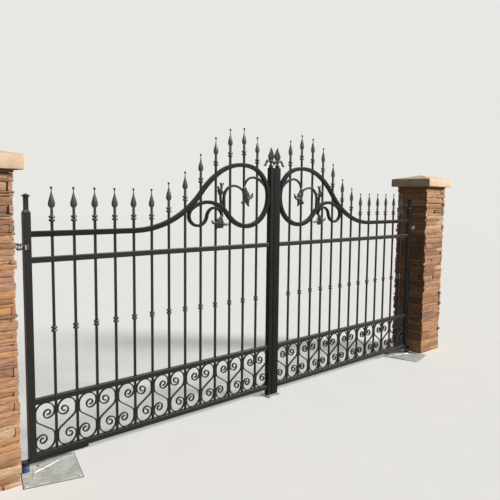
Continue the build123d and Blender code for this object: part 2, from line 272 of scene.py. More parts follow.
def sweep_bar(shape, points, widths, depths, radius):
    """A blunt-ended bar along points in the leaf's plane, with a width and depth at each."""
    def section(x, z, turn, half_width, half_depth):
        outline = rounded(half_width, half_depth, radius)
        return [(x - a * sin(turn), LINE_Y + b, z + a * cos(turn)) for a, b in outline]

    rings = [section(*point, wide / 2, deep / 2) for point, wide, deep in zip(points, widths, depths)]
    ends = []
    for end, sign in ((0, -1), (-1, 1)):
        x, z, turn = points[end]
        x, z = x + sign * cos(turn), z + sign * sin(turn)
        ends.append(section(x, z, turn, widths[end] / 2 - 1, depths[end] / 2 - 1))
    add_rings(shape, [ends[0], *rings, ends[1]])


def forged(shape, start, heading, moves, widths, depth, end_depth, step):
    """A forged scroll: its width changes evenly along each move, its depth over the second half."""
    points = walk(start, heading, moves, step)
    wide = [widths[p[4]] + (widths[p[4] + 1] - widths[p[4]]) * p[3] for p in points]
    deep = [depth + (end_depth - depth) * max(0.0, (p[4] + p[3]) / len(moves) * 2 - 1) for p in points]
    sweep_bar(shape, [p[:3] for p in points], wide, deep, FORGED_EDGE)


def srgb(*levels):
    """A colour written as eight-bit levels, in the linear values that shaders use."""
    out = []
    for level in levels:
        c = level / 255
        out.append(c / 12.92 if c <= 0.04045 else ((c + 0.055) / 1.055) ** 2.4)
    return (*out, 1.0)


class Nodes:
    """A material's node tree, with short calls for the nodes used here."""

    def __init__(self, name):
        self.material = bpy.data.materials.new(name)
        self.material.use_nodes = True
        self.tree = self.material.node_tree
        self.shader = self.tree.nodes["Principled BSDF"]
        self.place = self.node("TexCoord", {}).outputs["Object"]

    def feed(self, node, inputs):
        """Join each of a node's inputs to a socket, or set it to a value."""
        for key, value in inputs.items():
            if isinstance(value, bpy.types.NodeSocket):
                self.tree.links.new(value, node.inputs[key])
            else:
                node.inputs[key].default_value = value

    def node(self, kind, inputs, **settings):
        made = self.tree.nodes.new("ShaderNode" + kind)
        for key, value in settings.items():
            setattr(made, key, value)
        self.feed(made, inputs)
        return made

    def stretched(self, scale):
        return self.node("Mapping", {"Vector": self.place, "Scale": scale}).outputs["Vector"]

    def noise(self, scale, detail, rough=0.55, at=None):
        inputs = {"Vector": at or self.place, "Scale": scale, "Detail": detail, "Roughness": rough}
        return self.node("TexNoise", inputs).outputs["Fac"]

    def cells(self, scale, output):
        return self.node("TexVoronoi", {"Vector": self.place, "Scale": scale}).outputs[output]

    def ramp(self, value, stops):
        """Greys or colours read off from (position, grey or colour) stops."""
        made = self.node("ValToRGB", {"Fac": value})
        elements = made.color_ramp.elements
        while len(elements) < len(stops):
            elements.new(0.5)
        for element, (position, colour) in zip(elements, stops):
            element.position = position
            element.color = colour if isinstance(colour, tuple) else (colour, colour, colour, 1)
        return made.outputs["Color"]

    def clouds(self, scale, detail, *stops):
        return self.ramp(self.noise(scale, detail), stops)

    def roughness(self, scale, detail, low, high):
        return self.clouds(scale, detail, (0.3, low), (0.7, high))

    def mix(self, share, first, second, blend="MIX"):
        inputs = {0: share, 6: first, 7: second}
        return self.node("Mix", inputs, data_type="RGBA", blend_type=blend).outputs[2]

    def stain(self, colour, tone, pattern, start, end, most):
        """A colour with another tone laid over it where a pattern is strong."""
        return self.mix(self.ramp(pattern, [(start, 0.0), (end, most)]), colour, srgb(*tone))

    def upward(self, start, end):
        """1 where the surface faces up, 0 where it stands upright."""
        normal = self.node("NewGeometry", {}).outputs["Normal"]
        height = self.node("SeparateXYZ", {"Vector": normal}).outputs["Z"]
        return self.node("MapRange", {"Value": height, "From Min": start, "From Max": end}).outputs["Result"]

    def times(self, first, second):
        return self.node("Math", {0: first, 1: second}, operation="MULTIPLY").outputs[0]

    def bump(self, height, strength, distance, under=None):
        """A bumped normal, on top of an earlier one where there is one."""
        inputs = {"Height": height, "Strength": strength, "Distance": distance}
        if under is not None:
            inputs["Normal"] = under
        return self.node("Bump", inputs).outputs["Normal"]

    def finish(self, colour, rough, normal, metallic=0.0, specular=0.5):
        """The material, with its shader joined up."""
        self.feed(self.shader, {"Base Color": colour, "Roughness": rough, "Normal": normal})
        self.feed(self.shader, {"Metallic": metallic, "Specular IOR Level": specular})
        return self.material


def paint_material(name, lift, rough_low, rough_high, specular):
    """Anthracite paint with a fine mineral grain and uneven gloss; a painted highlight with a little dust along
    the upper arrises, and a painted dark reflection on the top faces.
    """
    n = Nodes(name)
    grain = n.noise(1600, 2)
    tones = [(0.3, 29 + lift), (0.62, 37 + lift), (0.8, 47 + lift)]
    colour = n.ramp(grain, [(place, srgb(level, level, level - 1)) for place, level in tones])
    patches = n.clouds(9, 4, (0.35, 0.82), (0.7, 1.0))
    colour = n.mix(1.0, colour, patches, "MULTIPLY")
    # Upper arrises, and faintly the top faces, are mixed towards light grey in patches: a painted highlight
    # along the arrises, with a little dust.
    arris = n.times(n.upward(0.2, 0.55), n.ramp(n.upward(0.8, 0.97), [(0.0, 1.0), (1.0, 0.12)]))
    arris_highlight_and_dust = n.times(arris, n.clouds(60, 4, (0.35, 0.4), (0.7, 0.9)))
    colour = n.mix(arris_highlight_and_dust, colour, srgb(112, 111, 109))
    # Upward faces are darkened nearly to black: a painted dark reflection on the top faces.
    colour = n.mix(n.times(n.upward(0.8, 0.97), 0.75), colour, srgb(14, 14, 13))
    rough = n.roughness(140, 3, rough_low, rough_high)
    normal = n.bump(grain, 0.08, 0.0003, n.bump(n.noise(220, 3), 0.08, 0.0008))
    return n.finish(colour, rough, normal, specular=specular)


def stone_material(name, low, middle, high):
    """Split natural stone: thin beds, grain, stains and a rough break."""
    n = Nodes(name)
    beds = n.noise(16, 5, 0.62, n.stretched((1, 1, 8)))
    colour = n.ramp(beds, [(0.3, low), (0.5, middle), (0.7, high)])
    grain = n.noise(260, 5, 0.7)
    colour = n.mix(1.0, colour, n.ramp(grain, [(0.3, 0.8), (0.6, 1.05)]), "MULTIPLY")
    colour = n.stain(colour, (176, 128, 92), n.noise(12, 4), 0.52, 0.76, 0.5)
    rough = n.roughness(90, 3, 0.78, 0.95)
    coarse = n.bump(beds, 0.8, 0.007, n.bump(n.noise(46, 6, 0.62, n.stretched((1, 1, 2.2))), 0.5, 0.006))
    normal = n.bump(grain, 0.35, 0.0015, coarse)
    return n.finish(colour, rough, normal, specular=0.2)


def mortar_material():
    """Dark sandy bed behind the stones."""
    n = Nodes("bed_mortar")
    grain = n.noise(420, 5, 0.7)
    colour = n.ramp(grain, [(0.3, srgb(62, 49, 40)), (0.7, srgb(92, 74, 60))])
    rough = n.ramp(grain, [(0.3, 0.85), (0.7, 0.97)])
    return n.finish(colour, rough, n.bump(grain, 0.5, 0.003), specular=0.2)


def cap_material(name, cap_shade_darkening):
    """Cream cast stone with pits, faint mottling and darker weathering, all tones darkened by the given amount
    of painted shade.
    """
    n = Nodes(name)
    mottle = n.noise(11, 6, 0.6)
    tones = [(0.3, (226, 198, 168)), (0.5, (240, 214, 184)), (0.72, (246, 224, 197))]
    colour = n.ramp(mottle, [(place, srgb(*(level - cap_shade_darkening for level in tone))) for place, tone in tones])
    colour = n.stain(colour, (170, 138, 106), n.noise(150, 3, 0.6), 0.6, 0.72, 0.4)
    pits = n.ramp(n.cells(240, "Distance"), [(0.04, 0.62), (0.14, 1.0)])
    colour = n.mix(0.5, colour, pits, "MULTIPLY")
    runs = n.noise(30, 4, 0.6, n.stretched((1, 1, 0.18)))
    colour = n.stain(colour, (186, 160, 130), runs, 0.5, 0.8, 0.35)
    rough = n.roughness(70, 3, 0.72, 0.9)
    normal = n.bump(n.noise(320, 4, 0.65), 0.35, 0.0012, n.bump(pits, 0.3, 0.0015))
    return n.finish(colour, rough, normal, specular=0.3)


def galvanised_material():
    """Hot-dip galvanised steel: spangles, dull patches and faint white bloom."""
    n = Nodes("galvanised_steel_finish")
    spangle = n.node("SeparateColor", {"Color": n.cells(70, "Color")}).outputs["Red"]
    tones = [(0.0, (220, 222, 210)), (0.5, (229, 230, 218)), (1.0, (238, 238, 228))]
    colour = n.ramp(spangle, [(place, srgb(*tone)) for place, tone in tones])
    colour = n.stain(colour, (234, 235, 224), n.noise(6, 4, 0.6), 0.45, 0.7, 0.7)
    colour = n.stain(colour, (146, 162, 174), n.noise(8, 6, 0.72), 0.42, 0.68, 0.75)
    colour = n.stain(colour, (128, 138, 144), n.noise(19, 5, 0.7), 0.55, 0.75, 0.45)
    rough = n.roughness(24, 4, 0.34, 0.56)
    normal = n.bump(spangle, 0.05, 0.0005, n.bump(n.noise(300, 3), 0.1, 0.0005))
    return n.finish(colour, rough, normal, metallic=0.15)


def zinc_material(name, dull, bright, scales, gloss, metallic):
    """Zinc plating from its two tones, the scales of clouds, wear and grain, and its gloss."""
    n = Nodes(name)
    clouds, wear, grain = scales
    colour = n.ramp(n.noise(clouds, 4), [(0.3, srgb(*dull)), (0.7, srgb(*bright))])
    rough = n.roughness(wear, 3, *gloss)
    return n.finish(colour, rough, n.bump(n.noise(grain, 2), 0.1, 0.0003), metallic=metallic)


paint = paint_material("anthracite_paint", 0, 0.3, 0.44, 0.22)
# A darker copy of the paint for the meeting stiles, the closing flat and the top scroll: painted shade.
shaded_paint_copy = paint_material("anthracite_paint_painted_shade", -9, 0.34, 0.48, 0.12)
bracket_paint = paint_material("weathered_bracket_paint", 46, 0.34, 0.48, 0.3)
# A much lighter grey for five weld spots, and a painted highlight on the upper plate of the hinge fork.
light_weld_and_highlight_paint = paint_material("light_weld_spots_and_painted_highlight", 96, 0.3, 0.44, 0.5)
bead_paint = paint_material("anthracite_paint_on_beads", -8, 0.12, 0.2, 0.8)
leaf_paint = paint_material("anthracite_paint_on_leaves", 0, 0.26, 0.4, 0.4)
cast_paint = paint_material("anthracite_paint_on_castings", 16, 0.2, 0.32, 0.6)
mortar = mortar_material()
# The left cap's tones are darkened by 12 levels: painted shade on the cap that faces the key light.
cast_stones = {"left": cap_material("cast_stone_left_painted_shade", 12), "right": cap_material("cast_stone_right", 0)}
galvanised = galvanised_material()
zinc = zinc_material("bright_zinc_finish", (204, 204, 198), (232, 231, 226), (180, 120, 500), (0.26, 0.46), 0.55)
hub_zinc = zinc_material("blue_zinc_finish", (48, 70, 110), (72, 94, 134), (60, 90, 400), (0.32, 0.5), 0.45)
STONE_TONES = {
    "stone_tan": ((160, 118, 88), (196, 150, 114), (214, 172, 136)),
    "stone_ochre": ((168, 120, 82), (206, 154, 108), (222, 176, 130)),
    "stone_pink": ((158, 116, 92), (188, 144, 116), (206, 164, 138)),
    "stone_brown": ((132, 98, 74), (164, 124, 96), (186, 146, 116)),
    "stone_cream": ((188, 150, 116), (216, 180, 144), (230, 200, 166)),
    "stone_umber": ((122, 96, 76), (148, 120, 98), (170, 142, 120)),
}
# Shares of the six stone tones above and below TONE_LINE: the left pier's upper courses lean to the brown and
# umber stones, painted shade under the cap; the right pier's upper courses lean to lighter stones.
TONE_SHARES = {
    ("left", "high"): (14, 4, 16, 38, 2, 28),
    ("left", "low"): (32, 22, 18, 12, 14, 4),
    ("right", "high"): (30, 16, 20, 10, 20, 4),
    ("right", "low"): (30, 12, 20, 24, 4, 12),
}
stones = [stone_material(name, *(srgb(*tone) for tone in tones)) for name, tones in STONE_TONES.items()]

# Facing of the piers
COURSES = (16, 20, 28, 32, 36, 40, 46)
STONE_LENGTHS, LEAST_LENGTH = (130, 380), 70
FOOT_ZONE, TONE_LINE = 260, 1280
STONE_BACK, CORE_INSET = -26, 15


def place_on_wall(wall, u, v, w):
    """A point of one of the pier's four walls: along it, up it and out of it."""
    out = PIER / 2 + w
    return ((u, -out, v), (out, u, v), (-u, out, v), (-out, -u, v))[wall]


def add_stone(shape, wall, u0, u1, v0, v1, proud, rng, slot):
    """One split stone: an uneven front, worn arrises and sides that run back into the bed."""
    columns = max(2, round((u1 - u0) / 16))
    rows = max(2, round((v1 - v0) / 11))
    seed = Vector((rng.uniform(0, 90), rng.uniform(0, 90), rng.uniform(0, 90)))
    lean = rng.uniform(-3, 3)
    verts = []
    for j in range(rows + 1):
        for i in range(columns + 1):
            edge = i in (0, columns) or j in (0, rows)
            u = u0 + (u1 - u0) * i / columns
            v = v0 + (v1 - v0) * j / rows
            if not edge:
                u += rng.uniform(-2.5, 2.5)
                v += rng.uniform(-1.5, 1.5)
            out = proud + lean * (i / columns - 0.5) + 3.2 * noise.noise(seed + Vector((u, v, 0)) * 0.045)
            if j in (0, rows):
                out -= rng.uniform(2.2, 5.0)
            elif edge:
                out -= rng.uniform(0.6, 2.0)
            wander = 1.4 * noise.noise(seed + Vector((v, u, 5)) * 0.05) if edge else 0
            verts.append(place_on_wall(wall, u + wander, v + wander, out))
    faces, rim = grid(columns, rows)
    back = len(verts)
    for index in rim:
        j, i = divmod(index, columns + 1)
        verts.append(place_on_wall(wall, u0 + (u1 - u0) * i / columns, v0 + (v1 - v0) * j / rows, STONE_BACK))
    for k in range(len(rim)):
        following = (k + 1) % len(rim)
        faces.append((rim[k], back + k, back + following, rim[following]))
    faces.append(tuple(range(back, len(verts))))
    shape.add(verts, faces, slot)


def course_heights(rng):
    """Uneven courses, thicker towards the foot, that fill the pier's height."""
    heights = []
    while sum(heights) < PIER_TOP - 8:
        z = sum(heights)
        thick = rng.choice(COURSES) * (1.3 if z < FOOT_ZONE else 1.0)
        heights.append(min(thick, PIER_TOP - z))
    heights[-1] += PIER_TOP - sum(heights)
    return heights


def build_pier(side, centre_x, seed):
    """A pier faced on four sides with thin split stones on a dark bed."""
    rng = random.Random(seed)
    shape = Shape()
    core = PIER / 2 - CORE_INSET
    upright(shape, (0, 0, 0), [(core, 0), (core, PIER_TOP)], radius=2)
    z = 0.0
    for course, height in enumerate(course_heights(rng)):
        gap = rng.uniform(1.2, 2.8)
        for wall in range(4):
            long_wall = wall % 2 == course % 2
            reach = PIER / 2 + rng.uniform(-9, 7) if long_wall else PIER / 2 - rng.uniform(14, 18)
            u = -reach
            while u < reach - 1:
                length = rng.uniform(*STONE_LENGTHS)
                if reach - u - length < LEAST_LENGTH:
                    length = reach - u
                shares = TONE_SHARES[side, "high" if z > TONE_LINE else "low"]
                slot = 1 + rng.choices(range(len(shares)), shares)[0]
                proud = rng.uniform(-9, 6)
                first, last = u < -reach + 1, u + length > reach - 1
                if long_wall and (first or last):
                    proud = max(proud, -4)
                half_gap = rng.uniform(0.2, 0.6)
                start = u + (0 if first else half_gap)
                end = u + length - (0 if last else half_gap)
                add_stone(shape, wall, start, end, z + gap / 2, z + height - gap / 2, proud, rng, slot)
                u += length
        z += height
    shape.verts = [(x + centre_x, y, z) for x, y, z in shape.verts]
    replaced = [f"{side}_pier"]
    make_piece(f"{side}_pier_stones", shape, [mortar] + stones, "posts", replaced, sharp=50)


def build_cap(side, centre_x):
    """Cast cap: worn edges, a drip under the rim and a low pyramid."""
    shape = Shape()
    half = CAP / 2
    rim = [(165, 4), (24, 4), (22, 0.5), (5, 0.5), (1.5, 3), (0, 9), (0, CAP_EDGE - 9), (1.5, CAP_EDGE - 3)]
    profile = [(half - inset, PIER_TOP + rise) for inset, rise in rim]
    slope = CAP_RISE / half
    for inset in (6, 14, 40, 80, 120, 160, 200, 216):
        profile.append((half - inset, PIER_TOP + CAP_EDGE + slope * inset - (0.6 if inset < 10 else 0)))
    rings = []
    for half_width, z in profile:
        ring = []
        radius = min(9, half_width * 0.5)
        corner = rounded(half_width, half_width, radius, 3)
        for (a, b), (c, d) in around(corner):
            pieces = 8 if hypot(c - a, d - b) > radius else 1
            for i in range(pieces):
                x = a + (c - a) * i / pieces
                y = b + (d - b) * i / pieces
                shift = 1.1 * noise.noise(Vector((x + centre_x, y, z)) * 0.018)
                ring.append((centre_x + x * (1 + shift / half), y * (1 + shift / half), z))
        rings.append(ring)
    add_rings(shape, rings)
    replaced = [f"{side}_pier_cap"]
    make_piece(f"{side}_cap_stone", shape, [cast_stones[side]], "posts", replaced, sharp=30)


def build_frame_bars():
    """Stiles, rails and bars as tube with softened edges."""
    for node in ("hinge_stile", "meeting_stile", "bottom_rail", "lower_rail", "middle_rail"):
        low, high = node_box(f"left_{node}")
        shape = Shape()
        if node == "hinge_stile":
            profile = [(19.4, 65), (20, 65.6), (20, 1514), (19.7, 1517), (12.6, 1530), (12, 1533), (12, 1597)]
            upright(shape, (STILE_X, LINE_Y, 0), profile, radius=1.6)
        elif node == "meeting_stile":
            tube_box(shape, low, high, axis=2)
        else:
            low[2], high[2] = low[2] - RAIL_SWELL, high[2] + RAIL_SWELL
            tube_box(shape, low, high)
        make_pair(f"{node}_tube", shape, [shaded_paint_copy if node == "meeting_stile" else paint], node, sharp=20)
    shape = Shape()
    half = BAR / 2
    for x, tip in zip(BARS_X, SPEAR_TIPS):
        low, high = (x - half, LINE_Y - half, PANEL_LOW), (x + half, LINE_Y + half, tip - BAR_END_DROP)
        tube_box(shape, low, high, 1.2, axis=2)
    make_pair("bar_rods", shape, [paint], "bars", sharp=20)
    shape = Shape()
    low, high = node_box("right_closing_strip")
    tube_box(shape, low, high, 1.2, axis=2)
    make_piece("right_closing_flat", shape, [shaded_paint_copy], "right_leaf", ["right_closing_strip"], sharp=20)


def build_stile_caps():
    """Flared square caps on the hinge stiles."""
    shape = Shape()
    profile = [(12, 1597), (12.6, 1600), (14, 1604), (16.4, 1607.6), (18.6, 1609.6), (19, 1610.4), (19, 1612)]
    profile += [(18.2, 1612.8), (10, 1617.6), (3, 1622), (1.2, 1623)]
    upright(shape, (STILE_X, LINE_Y, 0), profile, radius=1.2)
    make_pair("stile_cap_cast", shape, [paint], "stile_cap", sharp=28)


# Leaf of a spearhead: height against its tip and half width
BLADE = [
    (-125, 8.4), (-123, 11.4), (-119, 15.4), (-114, 18.8), (-108, 21.2), (-101, 22.2), (-94, 21.6), (-87, 20.4),
    (-79, 18.4), (-71, 16.0), (-62, 13.2), (-53, 10.4), (-44, 7.6), (-36, 5.4), (-29, 3.9), (-24, 3.0),
]
BLADE_SIDES = 20
BLADE_HALF, BLADE_DEPTH, LEAST_DEPTH = 22.2, 10.5, 2.6
TWIST_START, TWIST = -6, 30


def add_spearhead(shape, x, tip):
    """Rings, square neck, smooth leaf with a soft midrib and a slight twist, needle and ball."""
    for drop in COLLAR_DROPS:
        bead(shape, (x, LINE_Y, tip - drop), 18.6, 17.4, slot=1)
    upright(shape, (x, LINE_Y, tip), [(6.9, -NECK_DROP), (6.9, -132), (6.4, -120)], radius=1.2)
    rings = []
    for drop, half in BLADE:
        twist = radians(TWIST_START + TWIST * (drop - BLADE[0][0]) / 100)
        depth = max(LEAST_DEPTH, BLADE_DEPTH * (half / BLADE_HALF) ** 0.8)
        ring = []
        for i in range(BLADE_SIDES):
            turn = tau * i / BLADE_SIDES
            a = half * cos(turn)
            b = depth * sin(turn) * (1 - 0.22 * abs(cos(turn)) ** 0.8)
            ring.append((
                x + a * cos(twist) - b * sin(twist),
                LINE_Y + a * sin(twist) + b * cos(twist),
                tip + drop,
            ))
        rings.append(ring)
    add_rings(shape, rings)
    needle = [(3.2, -30), (2.8, -24), (2.8, -17), (4.2, -15.4), (6.4, -12.6), (7.4, -9.4), (7.6, -7)]
    needle += [(7.2, -4.4), (5.6, -1.9), (3.0, -0.5), (0.8, 0)]
    upright(shape, (x, LINE_Y, tip), needle, sides=16)


def build_spearheads():
    """A spearhead on every bar."""
    shape = Shape()
    for x, tip in zip(BARS_X, SPEAR_TIPS):
        add_spearhead(shape, x, tip)
    make_pair("spearhead_forgings", shape, [cast_paint, bead_paint], "spearheads", sharp=60)


def build_bar_rings():
    """Double rings at mid height of the bars."""
    shape = Shape()
    for x in BARS_X:
        for offset in (-KNOT_SPACING / 2, KNOT_SPACING / 2):
            bead(shape, (x, LINE_Y, KNOT_Z + offset), 18.4, 17)
        upright(shape, (x, LINE_Y, KNOT_Z), [(8.6, -8), (8.6, 8)], sides=16)
    make_pair("bar_knots", shape, [bead_paint], "bar_rings", sharp=60)


def build_s_scrolls():
    """Flat bar bent into an S in each bay, thinned towards the rolled ends."""
    shape = Shape()
    first, second = (walk((0, 0), heading + SCROLL_LEAN, HALF_SCROLL, 7) for heading in (90, 270))
    chain = [(x, z, turn + pi) for x, z, turn, _, _ in reversed(first)]
    chain += [(x, z, turn) for x, z, turn, _, _ in second[1:]]
    count = len(chain)
    widths = [SCROLL_THIN + SCROLL_TAPER * min(1, min(i, count - 1 - i) / 8) for i in range(count)]
    widths[0] = widths[-1] = SCROLL_END
    widths[1] = widths[-2] = SCROLL_FULL
    middle_z = (PANEL_LOW + PANEL_HIGH) / 2
    for bay in range(BAR_COUNT + 1):
        middle_x = INNER_X + BAR_GAP / 2 + bay * PITCH
        turned = [(-x, z, pi - turn) for x, z, turn in chain] if bay % 2 else chain
        points = [(middle_x + x, middle_z + z, turn) for x, z, turn in turned]
        sweep_bar(shape, points, widths, [SCROLL_DEPTH] * count, 1.6)
    make_pair("s_scroll_bars", shape, [paint], "s_scrolls", sharp=20)


def build_top_scroll():
    """The top rail and the scroll it rises into, and the scrolls inside the ring."""
    shape = Shape()
    forged(shape, *TOP_SCROLL, depth=30, end_depth=22, step=3)
    make_pair("top_scroll_bar", shape, [shaded_paint_copy], "top_rail", sharp=20)
    shape = Shape()
    for scroll in (ARCH, CROOK, SPRIG):
        forged(shape, *scroll, depth=18, end_depth=12, step=4)
    make_pair("inner_scroll_bars", shape, [paint], "inner_scrolls", sharp=20)


def fill_leaf(shape, outline, back_y, thickness, veins, plump=9.0, step=3.5):
    """A cast leaf: its outline filled with a crowned front that is drawn in along its veins."""
    edge = []
    for (x0, z0), (x1, z1) in around(outline):
        count = max(1, round(hypot(x1 - x0, z1 - z0) / (step * 1.2)))
        edge += [Vector((x0 + (x1 - x0) * i / count, z0 + (z1 - z0) * i / count)) for i in range(count)]
    xs, zs = [p.x for p in edge], [p.y for p in edge]

    def inside(x, z):
        hit = False
        for (ax, az), (bx, bz) in around(edge):
            if (az > z) != (bz > z) and x < (bx - ax) * (z - az) / (bz - az) + ax:
                hit = not hit
        return hit

    def to_edge(x, z):
        return min(hypot(p.x - x, p.y - z) for p in edge)

    def to_vein(x, z):
        nearest = 99.0
        for vein in veins:
            for (ax, az), (bx, bz) in zip(vein, vein[1:]):
                along_x, along_z = bx - ax, bz - az
                t = max(0, min(1, ((x - ax) * along_x + (z - az) * along_z) / (along_x**2 + along_z**2)))
                nearest = min(nearest, hypot(x - ax - t * along_x, z - az - t * along_z))
        return nearest

    points = list(edge)
    x = min(xs) + step
    column = 0
    while x < max(xs):
        z = min(zs) + step * (0.5 if column % 2 else 1.0)
        while z < max(zs):
            if inside(x, z) and to_edge(x, z) > step * 0.6:
                points.append(Vector((x, z)))
            z += step
        x += step * 0.87
        column += 1
    ring = [(i, (i + 1) % len(edge)) for i in range(len(edge))]
    flat, _, faces, _, _, _ = delaunay_2d_cdt(points, ring, [], 1, 1e-5)
    front = []
    for p in flat:
        reach = to_edge(p.x, p.y)
        swell = 1 - exp(-reach / plump)
        groove = 0.55 * exp(-((to_vein(p.x, p.y) / 2.6) ** 2)) if veins else 0
        out = thickness * (0.35 + 1.05 * swell * (1 - groove))
        front.append((p.x, back_y - out, p.y))
    shape.add(front, [tuple(f) for f in faces])
    count = len(edge)
    sides = [(i, j, count + j, count + i) for i, j in ring]
    sides.append(tuple(range(count, 2 * count)))
    shape.add(front[:count] + [(p.x, back_y, p.y) for p in edge], sides)


def smooth_loop(points, rounds=2):
    """Cut the corners of a closed outline, so that a few points give a soft shape."""
    for _ in range(rounds):
        cut = []
        for (x0, z0), (x1, z1) in around(points):
            cut.append((x0 * 0.75 + x1 * 0.25, z0 * 0.75 + z1 * 0.25))
            cut.append((x0 * 0.25 + x1 * 0.75, z0 * 0.25 + z1 * 0.75))
        points = cut
    return points


# Outlines and veins of the cast leaves, each from its own corner
CROWN_LEAF = [
    (22, 200), (8, 180), (6, 150), (16, 122), (20, 100), (6, 84), (-4, 74), (4, 62), (22, 66), (34, 80),
    (46, 68), (60, 52), (80, 40), (76, 70), (82, 100), (100, 102), (116, 116), (120, 148), (106, 150),
    (100, 130), (80, 126), (80, 148), (60, 162), (48, 190), (34, 200),
]
CROWN_VEINS = [[(30, 190), (40, 132), (68, 56)], [(46, 116), (104, 114)], [(32, 104), (8, 72)]]
BUD_LEAF = [
    (36, 22), (26, 40), (18, 60), (24, 72), (16, 88), (28, 98), (40, 82), (48, 92), (46, 102), (38, 111),
    (44, 121), (58, 119), (62, 108), (70, 121), (82, 117), (76, 102), (64, 96), (70, 84), (62, 70), (68, 60),
    (80, 56), (78, 44), (66, 38), (56, 22),
]
BUD_VEINS = [[(44, 28), (44, 64), (56, 106)]]
END_LEAF = [
    (100, 102), (84, 82), (66, 76), (60, 60), (44, 52), (32, 56), (26, 70), (16, 66), (18, 46), (34, 36),
    (50, 38), (54, 22), (52, 6), (66, 0), (82, 12), (92, 4), (104, 12), (114, 4), (128, 12), (128, 28),
    (146, 24), (168, 24), (180, 34), (168, 44), (146, 40), (130, 50), (122, 70), (114, 102),
]
END_VEINS = [
    [(106, 94), (98, 60), (66, 14)], [(104, 72), (102, 20)], [(108, 82), (118, 22)], [(114, 50), (170, 34)],
    [(88, 64), (44, 44)],
]
# Corner of each leaf, as X from the hinge stile and Z
LEAVES = (
    (1600, 1500, CROWN_LEAF, CROWN_VEINS), (1350, 1600, BUD_LEAF, BUD_VEINS), (1300, 1380, END_LEAF, END_VEINS),
)


def placed(points, left, foot):
    """Points of an outline, moved to where its corner is."""
    return [(left + x, foot + z) for x, z in points]


def build_leaves():
    """Cast leaves on the front of the bars."""
    shape = Shape()
    for across, foot, outline, veins in LEAVES:
        left = STILE_X + across
        moved = [placed(vein, left, foot) for vein in veins]
        fill_leaf(shape, smooth_loop(placed(outline, left, foot)), LINE_Y - 4, 9, moved)
    make_pair("cast_leaves", shape, [leaf_paint], "scroll_leaves", sharp=50)


# Outlines of the finial, from the middle of the meeting stile's top
SPADE = [
    (0, 50), (12, 57), (28, 69), (35, 87), (29, 109), (17, 131), (8, 147), (-3, 163), (-7, 141), (-15, 123),
    (-27, 103), (-34, 85), (-26, 67), (-12, 56),
]
SPADE_RIB = [(0, 63), (0, 141)]
OUTER_CURL = [
    (-6, 21), (-10, 37), (-22, 45), (-34, 45), (-43, 35), (-49, 21), (-58, 9), (-76, 11), (-80, 23), (-68, 23),
    (-62, 35), (-56, 51), (-44, 64), (-28, 65), (-14, 59), (-6, 55),
]
INNER_CURL = [(6, 21), (10, 35), (18, 39), (24, 29), (31, 21), (36, 25), (36, 43), (28, 57), (16, 61), (6, 55)]


def build_finial():
    """Fleur-de-lis: a spade leaf, two curled side leaves and a ringed foot."""
    shape = Shape()
    outlines = (SPADE, SPADE_RIB, OUTER_CURL, INNER_CURL)
    spade, rib, outer, inner = (placed(outline, MEETING_X, MEETING_TOP) for outline in outlines)
    for facing in (1, -1):
        half = Shape()
        fill_leaf(half, smooth_loop(spade), 0, 6, [rib], 7, 3)
        for curl in (outer, inner):
            fill_leaf(half, smooth_loop(curl), 0, 5.5, [], 6, 3)
        shape.add([(x, LINE_Y + facing * y, z) for x, y, z in half.verts], half.faces)
    stem = [(16, 0), (16, 3), (18.2, 6), (18.8, 12), (17.6, 18), (13, 22), (10, 25), (9.6, 35)]
    stem += [(10.5, 45), (10, 51), (5, 65)]
    upright(shape, (MEETING_X, LINE_Y, MEETING_TOP), stem, sides=18)
    bead(shape, (MEETING_X, LINE_Y, MEETING_TOP + 51), 13, 9)
    make_pair("fleur_finial", shape, [leaf_paint], "finial", sharp=50)


def add_weld(shape, rng, centre, size, slot=0):
    """A small uneven bead of weld."""
    rings = []
    for i in range(5):
        height = -1 + 2 * i / 4
        radius = sqrt(max(0.04, 1 - height**2))
        ring = []
        for k in range(8):
            turn = tau * k / 8
            rough = rng.uniform(0.8, 1.15)
            ring.append((
                centre[0] + size[0] * radius * cos(turn) * rough,
                centre[1] + size[1] * height,
                centre[2] + size[2] * radius * sin(turn) * rough,
            ))
        rings.append(ring)
    add_rings(shape, rings, slot)


BRIGHT_WELDS = ((1777, 1861), (1774, 1697), (1905, 1722), (2042, 1453), (272, 1364))


def build_welds():
    """Weld spots where bars meet rails and where scrolls touch bars and rails."""
    rng = random.Random(11)
    shape = Shape()
    front = LINE_Y - RAIL / 2 + 6
    for x in BARS_X:
        for z in (PANEL_LOW, PANEL_HIGH, LOWER_Z + RAIL / 2, MIDDLE_Z - RAIL / 2, MIDDLE_Z + RAIL / 2):
            for side in (-1, 1):
                add_weld(shape, rng, (x + side * 7.5, front + 2, z), (3.2, 5, 2.2))
    for bay in range(BAR_COUNT + 1):
        middle = INNER_X + BAR_GAP / 2 + bay * PITCH
        for z, rise in ((PANEL_LOW, 1.5), (PANEL_HIGH, -1.5)):
            add_weld(shape, rng, (middle + rng.uniform(-4, 4), LINE_Y - 6, z + rise), (6, 3.5, 2.4))
        for side in (-1, 1):
            height = (PANEL_LOW + PANEL_HIGH) / 2 + side * LOOP_RISE * (1 if bay % 2 else -1)
            add_weld(shape, rng, (middle + side * (BAR_GAP / 2 - 1), LINE_Y - 5, height), (2.2, 3, 6))
    # Five weld spots at listed places are painted a much lighter grey.
    for x, z in BRIGHT_WELDS:
        add_weld(shape, rng, (x, front - 6.5, z), (3.4, 1.6, 3.4), 1)
    make_pair("weld_spots", shape, [paint, light_weld_and_highlight_paint], sharp=70)


